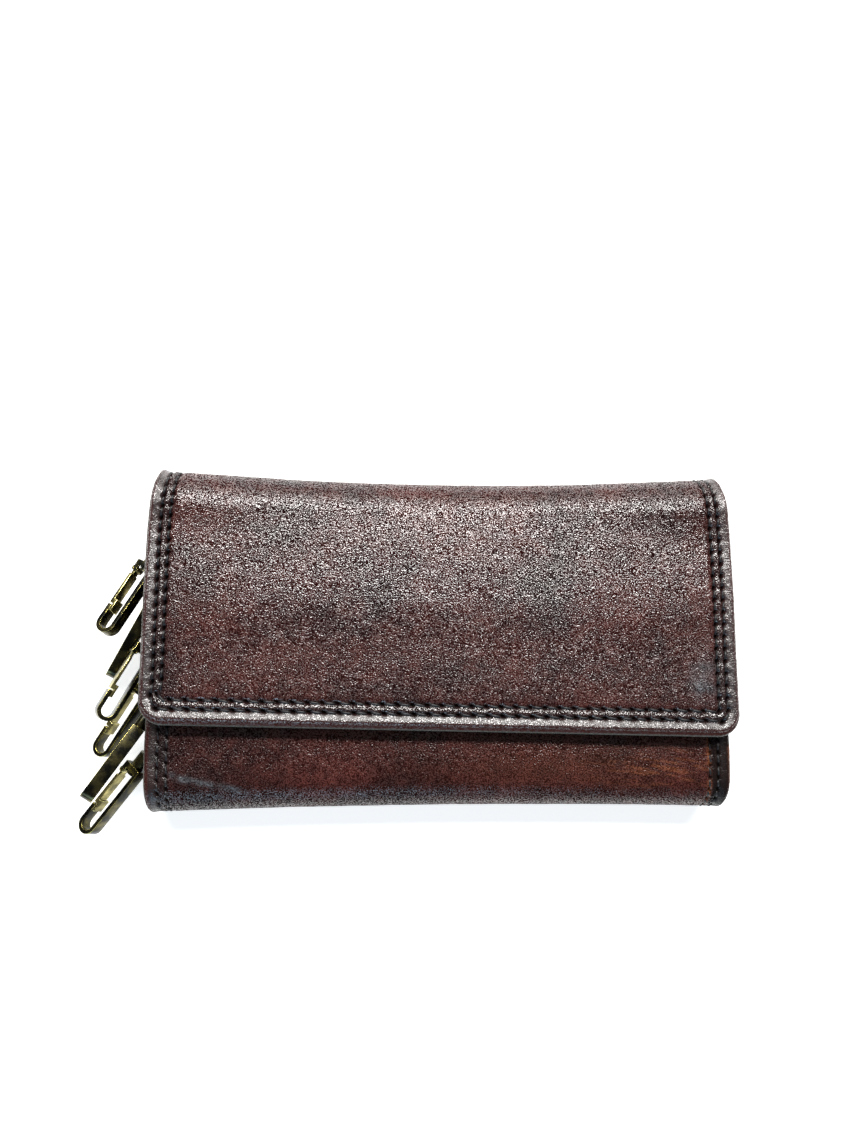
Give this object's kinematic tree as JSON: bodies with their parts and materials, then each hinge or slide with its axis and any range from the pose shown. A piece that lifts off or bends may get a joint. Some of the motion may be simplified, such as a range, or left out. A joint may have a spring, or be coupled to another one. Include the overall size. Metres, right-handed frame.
{
  "type": "leather key case",
  "caption": "Trifold leather key case with a press-stud flap and a riveted plate of swivelling spring-gate key hooks at one end.",
  "frame": {"origin": "middle of the back panel's flat outer face, which the closed case lies on", "axes": "+X along the case away from the hooks, +Y towards the upper fold that the flap hangs from, +Z out of the front"},
  "size_m": [0.1336, 0.0736, 0.0161],
  "materials": {
    "outer_leather": "waxed full-grain leather, dark burgundy brown, soft gloss",
    "lining_leather": "smooth matte lining leather, dark brown",
    "card": "plain grey-brown board",
    "thread": "waxed polyester thread, near black",
    "hook_brass": "antique brass, darkened and rubbed bright on its edges",
    "gate_steel": "brass-plated spring steel, lightly darkened",
    "plate_steel": "antique-plated steel, satin",
    "snap_brass": "antique brass, satin"
  },
  "bodies": {
    "back": {"back_shell": "outer_leather", "back_stiffener": "card", "back_lining": "lining_leather", "back_stitching": "thread", "key_plate": "plate_steel", "plate_rivets": "plate_steel", "rivet_washers": "plate_steel", "hook_posts": "plate_steel"},
    "top_spine": {"top_fold": "outer_leather", "top_fold_lining": "lining_leather"},
    "flap": {"flap_shell": "outer_leather", "flap_stiffener": "card", "flap_lining": "lining_leather", "flap_stitching": "thread", "snap_sockets": "snap_brass"},
    "bottom_spine": {"bottom_fold": "outer_leather", "bottom_fold_lining": "lining_leather"},
    "front": {"front_shell": "outer_leather", "front_stiffener": "card", "front_lining": "lining_leather", "front_stitching": "thread", "snap_studs": "snap_brass", "stud_washers": "snap_brass"},
    "hook_1_swivel": {"hook_1_link": "hook_brass"},
    "hook_1": {"hook_1_frame": "hook_brass", "hook_1_gate_pin": "hook_brass"},
    "hook_1_gate": {"hook_1_gate": "gate_steel"},
    "hook_2_swivel": {"hook_2_link": "hook_brass"},
    "hook_2": {"hook_2_frame": "hook_brass", "hook_2_gate_pin": "hook_brass"},
    "hook_2_gate": {"hook_2_gate": "gate_steel"},
    "hook_3_swivel": {"hook_3_link": "hook_brass"},
    "hook_3": {"hook_3_frame": "hook_brass", "hook_3_gate_pin": "hook_brass"},
    "hook_3_gate": {"hook_3_gate": "gate_steel"},
    "hook_4_swivel": {"hook_4_link": "hook_brass"},
    "hook_4": {"hook_4_frame": "hook_brass", "hook_4_gate_pin": "hook_brass"},
    "hook_4_gate": {"hook_4_gate": "gate_steel"},
    "hook_5_swivel": {"hook_5_link": "hook_brass"},
    "hook_5": {"hook_5_frame": "hook_brass", "hook_5_gate_pin": "hook_brass"},
    "hook_5_gate": {"hook_5_gate": "gate_steel"},
    "hook_6_swivel": {"hook_6_link": "hook_brass"},
    "hook_6": {"hook_6_frame": "hook_brass", "hook_6_gate_pin": "hook_brass"},
    "hook_6_gate": {"hook_6_gate": "gate_steel"}
  },
  "joints": [
    {"name": "top_spine_fold", "type": "hinge", "parent": "back", "child": "top_spine", "pos_m": [0, 0.0318, 0.0022], "axis": [-1, 0, 0], "range_deg": [0, 90], "deforming": ["top_fold", "top_fold_lining"]},
    {"name": "flap_open", "type": "hinge", "parent": "top_spine", "child": "flap", "pos_m": [0, 0.0318, 0.0138], "axis": [-1, 0, 0], "range_deg": [0, 90], "deforming": ["top_fold", "top_fold_lining"]},
    {"name": "bottom_spine_fold", "type": "hinge", "parent": "back", "child": "bottom_spine", "pos_m": [0, -0.0322, 0.0018], "axis": [1, 0, 0], "range_deg": [0, 90], "deforming": ["bottom_fold", "bottom_fold_lining"]},
    {"name": "front_open", "type": "hinge", "parent": "bottom_spine", "child": "front", "pos_m": [0, -0.0322, 0.0106], "axis": [1, 0, 0], "range_deg": [0, 90], "deforming": ["bottom_fold", "bottom_fold_lining"]},
    {"name": "hook_1_swing", "type": "hinge", "parent": "back", "child": "hook_1_swivel", "pos_m": [-0.0565, 0.0235, 0.0057], "axis": [0, 0, 1], "range_deg": [-60, 4]},
    {"name": "hook_1_twist", "type": "hinge", "parent": "hook_1_swivel", "child": "hook_1", "pos_m": [-0.0565, 0.0235, 0.0057], "axis": [-0.4592, -0.8637, 0.2079], "continuous": true},
    {"name": "hook_1_gate_open", "type": "hinge", "parent": "hook_1", "child": "hook_1_gate", "pos_m": [-0.0632, 0.0143, 0.0075], "axis": [-0.2103, 0.3331, 0.9192], "range_deg": [0, 9], "stiffness_Nm_per_rad": 0.01},
    {"name": "hook_2_swing", "type": "hinge", "parent": "back", "child": "hook_2_swivel", "pos_m": [-0.0565, 0.0151, 0.0057], "axis": [0, 0, 1], "range_deg": [-20, 3]},
    {"name": "hook_2_twist", "type": "hinge", "parent": "hook_2_swivel", "child": "hook_2", "pos_m": [-0.0565, 0.0151, 0.0057], "axis": [-0.4677, -0.8796, -0.0872], "continuous": true},
    {"name": "hook_2_gate_open", "type": "hinge", "parent": "hook_2", "child": "hook_2_gate", "pos_m": [-0.06215, 0.00541, 0.00307], "axis": [-0.8635, 0.4336, 0.2578], "range_deg": [0, 9], "stiffness_Nm_per_rad": 0.01},
    {"name": "hook_3_swing", "type": "hinge", "parent": "back", "child": "hook_3_swivel", "pos_m": [-0.0565, 0.0067, 0.0057], "axis": [0, 0, 1], "range_deg": [-8, 1]},
    {"name": "hook_3_twist", "type": "hinge", "parent": "hook_3_swivel", "child": "hook_3", "pos_m": [-0.0565, 0.0067, 0.0057], "axis": [-0.4441, -0.8715, 0.2079], "continuous": true},
    {"name": "hook_3_gate_open", "type": "hinge", "parent": "hook_3", "child": "hook_3_gate", "pos_m": [-0.06287, -0.0024, 0.00877], "axis": [0.4621, -0.024, 0.8865], "range_deg": [0, 9], "stiffness_Nm_per_rad": 0.01},
    {"name": "hook_4_swing", "type": "hinge", "parent": "back", "child": "hook_4_swivel", "pos_m": [-0.0565, -0.0017, 0.0057], "axis": [0, 0, 1], "range_deg": [-7, 3]},
    {"name": "hook_4_twist", "type": "hinge", "parent": "hook_4_swivel", "child": "hook_4", "pos_m": [-0.0565, -0.0017, 0.0057], "axis": [-0.5279, -0.8448, -0.0872], "continuous": true},
    {"name": "hook_4_gate_open", "type": "hinge", "parent": "hook_4", "child": "hook_4_gate", "pos_m": [-0.06385, -0.01044, 0.00413], "axis": [-0.3334, 0.1118, 0.9361], "range_deg": [0, 9], "stiffness_Nm_per_rad": 0.01},
    {"name": "hook_5_swing", "type": "hinge", "parent": "back", "child": "hook_5_swivel", "pos_m": [-0.0565, -0.0101, 0.0057], "axis": [0, 0, 1], "range_deg": [-5, 5]},
    {"name": "hook_5_twist", "type": "hinge", "parent": "hook_5_swivel", "child": "hook_5", "pos_m": [-0.0565, -0.0101, 0.0057], "axis": [-0.5327, -0.8203, 0.2079], "continuous": true},
    {"name": "hook_5_gate_open", "type": "hinge", "parent": "hook_5", "child": "hook_5_gate", "pos_m": [-0.06301, -0.01958, 0.00643], "axis": [-0.8063, 0.5666, 0.1699], "range_deg": [0, 9], "stiffness_Nm_per_rad": 0.01},
    {"name": "hook_6_swing", "type": "hinge", "parent": "back", "child": "hook_6_swivel", "pos_m": [-0.0565, -0.0185, 0.0057], "axis": [0, 0, 1], "range_deg": [-12, 10]},
    {"name": "hook_6_twist", "type": "hinge", "parent": "hook_6_swivel", "child": "hook_6", "pos_m": [-0.0565, -0.0185, 0.0057], "axis": [-0.6133, -0.785, -0.0872], "continuous": true},
    {"name": "hook_6_gate_open", "type": "hinge", "parent": "hook_6", "child": "hook_6_gate", "pos_m": [-0.06467, -0.02645, 0.00399], "axis": [-0.3817, 0.1979, 0.9029], "range_deg": [0, 9], "stiffness_Nm_per_rad": 0.01}
  ],
  "couplings": [
    {"joint": "flap_open", "follows": "top_spine_fold", "ratio": 1},
    {"joint": "bottom_spine_fold", "follows": "top_spine_fold", "ratio": 1},
    {"joint": "front_open", "follows": "top_spine_fold", "ratio": 1}
  ]
}
